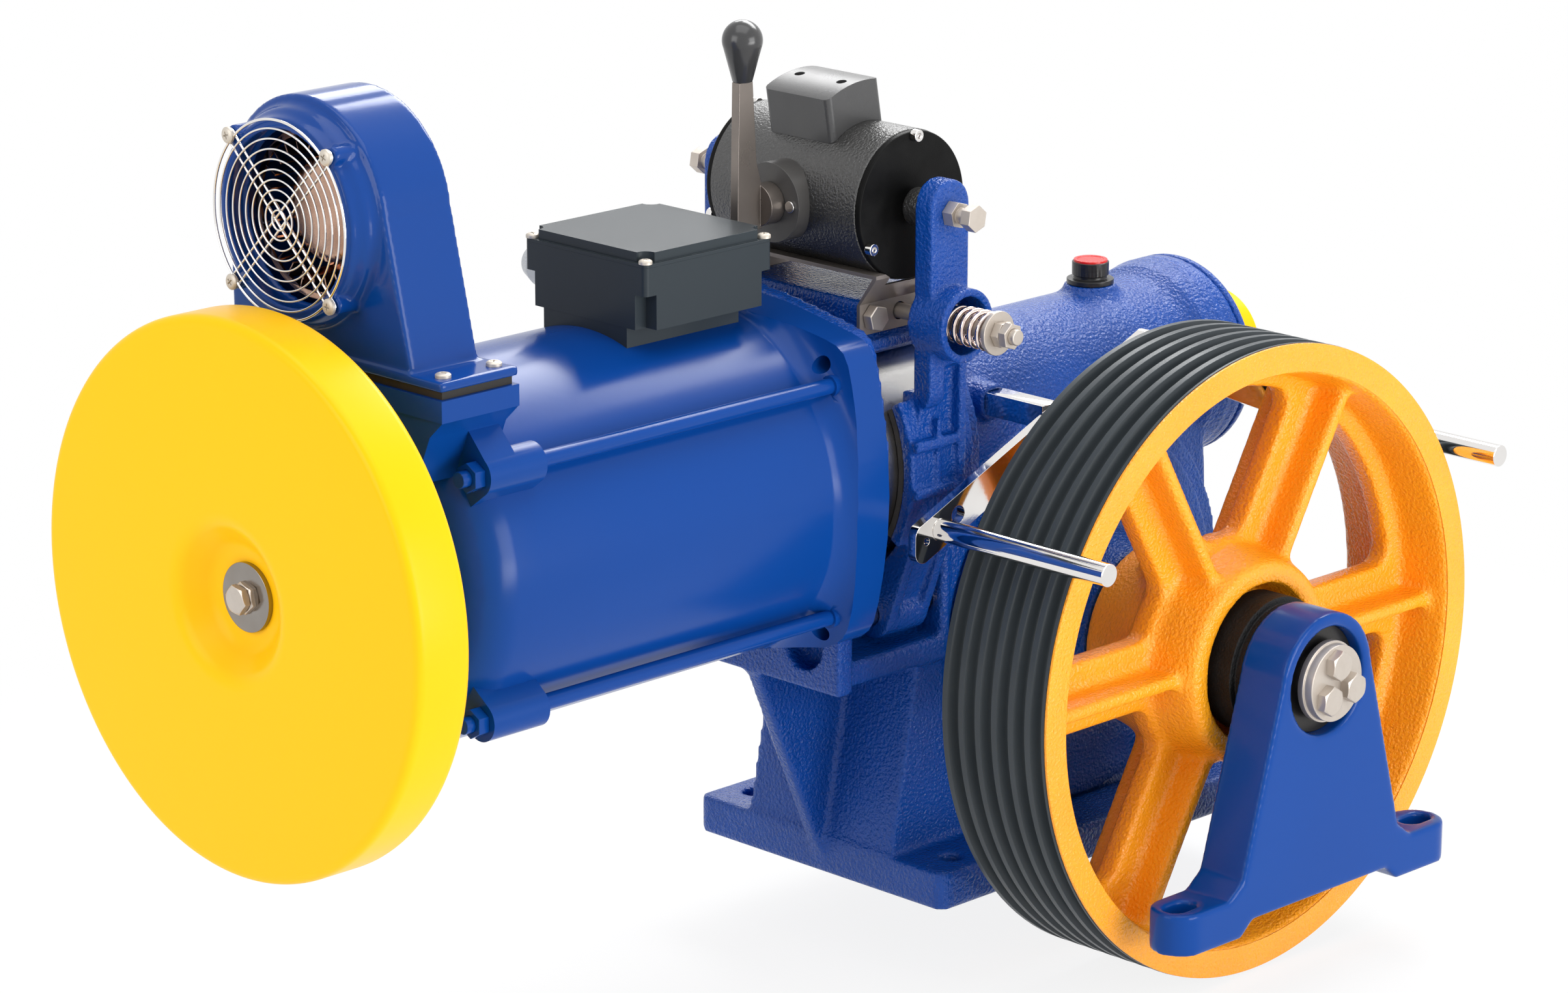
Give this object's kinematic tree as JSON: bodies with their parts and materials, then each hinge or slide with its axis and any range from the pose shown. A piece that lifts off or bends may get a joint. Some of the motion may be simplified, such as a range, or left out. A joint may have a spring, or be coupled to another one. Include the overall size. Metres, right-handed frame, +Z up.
{
  "type": "geared elevator traction machine",
  "caption": "Worm-geared elevator traction machine with flange motor, flywheel, forced-cooling blower, magnet brake, grooved sheave and outboard bearing bracket.",
  "frame": {"origin": "on the underside of the gearbox base, below the crossing of the worm axis plane and the output shaft axis", "axes": "+X along the worm and motor axis away from the flywheel, +Y along the output shaft away from the sheave, +Z up"},
  "size_m": [1.0575, 0.551, 0.7539],
  "materials": {
    "cast_blue": "gloss",
    "motor_blue": "gloss",
    "sheave_orange": "gloss",
    "flywheel_yellow": "gloss",
    "rim_grey": "satin",
    "magnet_black": "gloss",
    "box_grey": "satin",
    "zinc": "satin",
    "bright_steel": "gloss",
    "turned_steel": "satin",
    "bronze": "satin",
    "copper": "satin",
    "rubber_black": "matte",
    "lining_grey": "matte",
    "plastic_black": "gloss",
    "plastic_red": "gloss",
    "plastic_grey": "satin"
  },
  "bodies": {
    "machine": {"gearbox_housing": "cast_blue", "wheel_cover": "cast_blue", "worm_end_cover": "cast_blue", "worm_end_disc": "flywheel_yellow", "cover_bolts": "cast_blue", "oil_cap": "plastic_black", "oil_cap_top": "plastic_red", "motor_frame": "motor_blue", "motor_end_shield": "motor_blue", "tie_rods": "motor_blue", "tie_rod_nuts": "motor_blue", "stator": "copper", "terminal_box": "box_grey", "terminal_lid": "box_grey", "pan_screws": "zinc", "cable_gland": "bright_steel", "duct_gasket": "rubber_black", "blower_housing": "motor_blue", "fan_guard": "bright_steel", "blower_motor": "bright_steel", "outboard_bracket": "motor_blue", "magnet_body": "magnet_black", "magnet_end_plates": "magnet_black", "magnet_screws": "zinc", "magnet_cover": "plastic_grey", "release_boss": "magnet_black", "magnet_bracket": "zinc", "bracket_bolts": "zinc", "rope_guard_plate": "bright_steel", "rope_guard_rods": "bright_steel", "arm_pins": "turned_steel", "spring_rod": "zinc", "spring_nuts": "zinc", "worm_bearings": "turned_steel", "shaft_bearings": "turned_steel"},
    "arm_near": {"brake_arm_near": "cast_blue", "lining_near": "lining_grey", "adjuster_near": "zinc", "spring_near": "bright_steel"},
    "arm_far": {"brake_arm_far": "cast_blue", "lining_far": "lining_grey", "adjuster_far": "zinc", "spring_far": "bright_steel"},
    "plunger_near": {"plunger_near": "magnet_black"},
    "plunger_far": {"plunger_far": "magnet_black"},
    "lever": {"release_lever": "zinc", "release_knob": "plastic_black"},
    "rotor": {"worm_shaft": "turned_steel", "worm": "turned_steel", "rotor_core": "turned_steel", "brake_drum": "turned_steel", "flywheel": "flywheel_yellow", "flywheel_bolt": "bright_steel"},
    "sheave": {"worm_wheel": "bronze", "output_shaft": "turned_steel", "sheave_wheel": "sheave_orange", "sheave_rim": "rim_grey", "hub_spacer": "magnet_black", "end_plate_bolts": "bright_steel"},
    "blower_wheel": {"impeller": "copper"}
  },
  "joints": [
    {"name": "worm_spin", "type": "hinge", "parent": "machine", "child": "rotor", "pos_m": [0, 0, 0.3455], "axis": [1, 0, 0], "continuous": true},
    {"name": "output_spin", "type": "hinge", "parent": "machine", "child": "sheave", "pos_m": [0, 0, 0.1835], "axis": [0, 1, 0], "continuous": true},
    {"name": "arm_near_hinge", "type": "hinge", "parent": "machine", "child": "arm_near", "pos_m": [-0.199, -0.062, 0.226], "axis": [1, 0, 0], "range_deg": [0, 0.8], "stiffness_Nm_per_rad": 1100, "springref_deg": -2.86, "deforming": ["spring_near"]},
    {"name": "arm_far_hinge", "type": "hinge", "parent": "machine", "child": "arm_far", "pos_m": [-0.199, 0.062, 0.226], "axis": [-1, 0, 0], "range_deg": [0, 0.8], "stiffness_Nm_per_rad": 1100, "springref_deg": -2.86, "deforming": ["spring_far"]},
    {"name": "plunger_near_slide", "type": "slide", "parent": "machine", "child": "plunger_near", "axis": [0, -1, 0], "range_m": [0, 0.0046]},
    {"name": "plunger_far_slide", "type": "slide", "parent": "machine", "child": "plunger_far", "axis": [0, 1, 0], "range_m": [0, 0.0046]},
    {"name": "lever_hinge", "type": "hinge", "parent": "machine", "child": "lever", "pos_m": [-0.28, 0, 0.545], "axis": [1, 0, 0], "range_deg": [-20, 20], "stiffness_Nm_per_rad": 20},
    {"name": "blower_spin", "type": "hinge", "parent": "machine", "child": "blower_wheel", "pos_m": [-0.67, 0.019, 0.6013], "axis": [1, 0, 0], "continuous": true}
  ],
  "couplings": [
    {"joint": "output_spin", "follows": "worm_spin", "ratio": -0.020833},
    {"joint": "arm_far_hinge", "follows": "arm_near_hinge", "ratio": 1},
    {"joint": "plunger_near_slide", "follows": "arm_near_hinge", "m_per_rad": 0.319},
    {"joint": "plunger_far_slide", "follows": "arm_near_hinge", "m_per_rad": 0.319}
  ]
}
